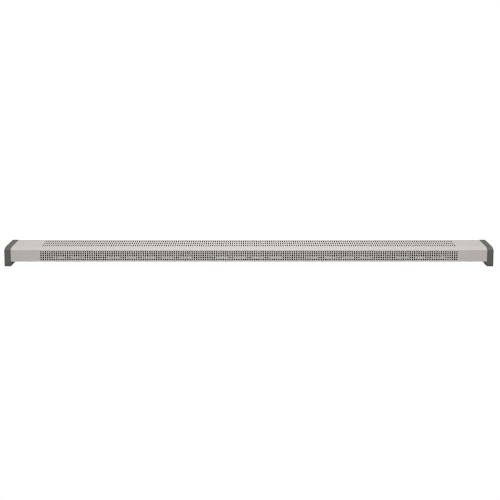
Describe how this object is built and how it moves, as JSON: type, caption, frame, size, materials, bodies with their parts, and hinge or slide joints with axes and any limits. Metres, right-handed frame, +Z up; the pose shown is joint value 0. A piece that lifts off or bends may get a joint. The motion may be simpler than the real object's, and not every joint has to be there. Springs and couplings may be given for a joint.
{
  "type": "electric convector heater",
  "caption": "Long, low floor-standing electric convector heater: folded sheet-steel casing with a perforated front and slotted top, between dark moulded end caps that are its feet.",
  "frame": {"origin": "on the floor, under the middle of the heater's overall box", "axes": "+X along the length to the viewer's right, the perforated front faces -Y, +Z up"},
  "size_m": [1.76, 0.185, 0.068],
  "materials": {
    "cover": "satin powder coat",
    "caps": "fine moulded texture",
    "chassis": "galvanised",
    "shield": "bright rolled",
    "tube": "dark oxidised",
    "fins": "heat blackened",
    "brass": "machined",
    "ceramic": "unglazed ceramic",
    "fasteners": "zinc plated",
    "cutout": "moulded",
    "block": "moulded",
    "insulation_live": "extruded",
    "insulation_neutral": "extruded",
    "insulation_earth": "extruded",
    "rubber": "moulded",
    "clamp": "moulded"
  },
  "bodies": {
    "root": {"cover": "cover", "left_end_cap": "caps", "right_end_cap": "caps", "base_plate": "chassis", "back_plate": "chassis", "left_end_plate": "chassis", "right_end_plate": "chassis", "left_bulkhead": "chassis", "right_bulkhead": "chassis", "element_supports": "chassis", "heat_shield": "shield", "heating_element": "tube", "element_fins": "fins", "element_bushes": "brass", "element_nuts": "brass", "terminal_screws": "brass", "earth_stud": "brass", "earth_nuts": "brass", "pin_insulators": "ceramic", "pin_nuts": "fasteners", "cutout_screws": "fasteners", "block_screws": "fasteners", "clamp_screws": "fasteners", "cap_screws": "fasteners", "cover_screws": "fasteners", "chassis_rivets": "fasteners", "wire_lugs": "fasteners", "thermal_cutout": "cutout", "terminal_block": "block", "live_wire": "insulation_live", "link_wire": "insulation_live", "neutral_wire": "insulation_neutral", "earth_wire": "insulation_earth", "cable_grommet": "rubber", "cord_clamp": "clamp"}
  },
  "joints": []
}
